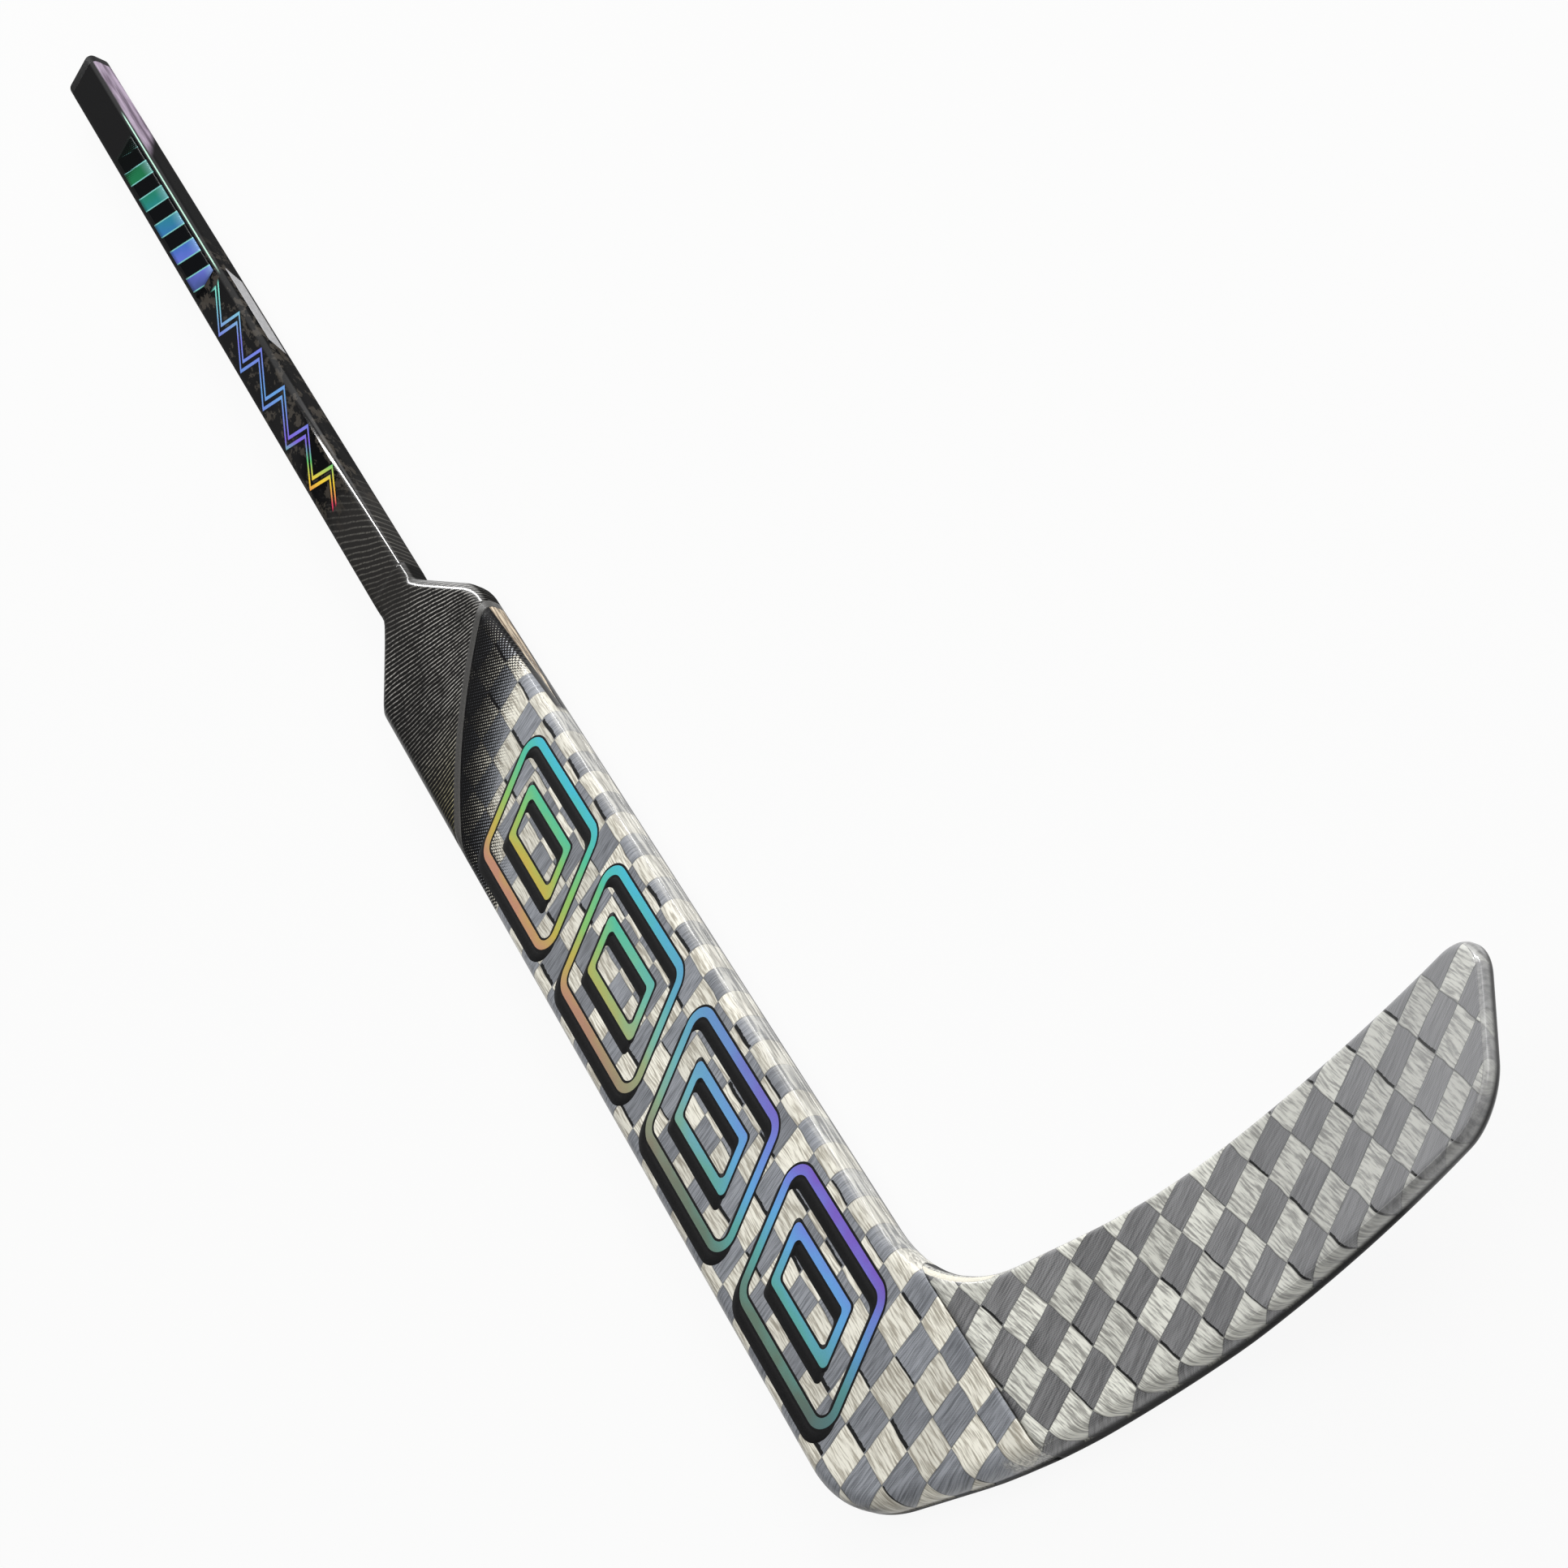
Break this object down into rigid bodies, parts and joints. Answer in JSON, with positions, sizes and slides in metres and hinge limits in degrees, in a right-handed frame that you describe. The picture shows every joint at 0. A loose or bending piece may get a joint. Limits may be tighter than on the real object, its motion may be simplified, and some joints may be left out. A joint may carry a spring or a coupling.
{
  "type": "hockey goalie stick",
  "caption": "Ice hockey goalie stick: hollow rectangular shaft with a pull-out end plug, wide flat paddle with sloping shoulders, and a curved, twisted blade with a dark sole edge.",
  "frame": {"origin": "on the back face, on the shaft's centre line, where the shaft meets the shoulders of the paddle", "axes": "+Y up the shaft to the butt end, +Z out of the playing face, +X to the blade's side"},
  "size_m": [0.3509, 1.4825, 0.0671],
  "materials": {
    "carbon": "clear-coated black carbon laminate",
    "woven_laminate": "clear-coated woven tow laminate, pale and grey squares",
    "iridescent_film": "thin iridescent film",
    "grey_strip": "satin dark grey",
    "grey_label": "satin grey film",
    "plug_plastic": "moulded black plastic",
    "rib_laminate": "uncoated laminate",
    "dense_core": "dense moulded core",
    "foam": "closed-cell foam"
  },
  "bodies": {
    "stick": {"shaft_tube": "carbon", "shaft_end_plug": "foam", "shaft_front_foil": "iridescent_film", "shaft_side_label": "grey_label", "shoulder_sleeve": "carbon", "shoulder_strip_front": "grey_strip", "shoulder_strip_back": "grey_strip", "paddle_front_skin": "woven_laminate", "paddle_back_skin": "woven_laminate", "paddle_front_decals": "iridescent_film", "paddle_outer_rail": "rib_laminate", "paddle_inner_rail": "rib_laminate", "paddle_web": "rib_laminate", "paddle_core_outer": "foam", "paddle_core_inner": "foam", "heel_block": "dense_core", "blade_front_skin": "woven_laminate", "blade_back_skin": "woven_laminate", "blade_edge_band": "carbon", "blade_web": "rib_laminate", "blade_core_lower": "foam", "blade_core_upper": "foam"},
    "butt_plug": {"butt_end_cap": "plug_plastic"}
  },
  "joints": [
    {"name": "butt_plug_pull", "type": "slide", "parent": "stick", "child": "butt_plug", "axis": [0, 1, 0], "range_m": [0, 0.045]}
  ]
}
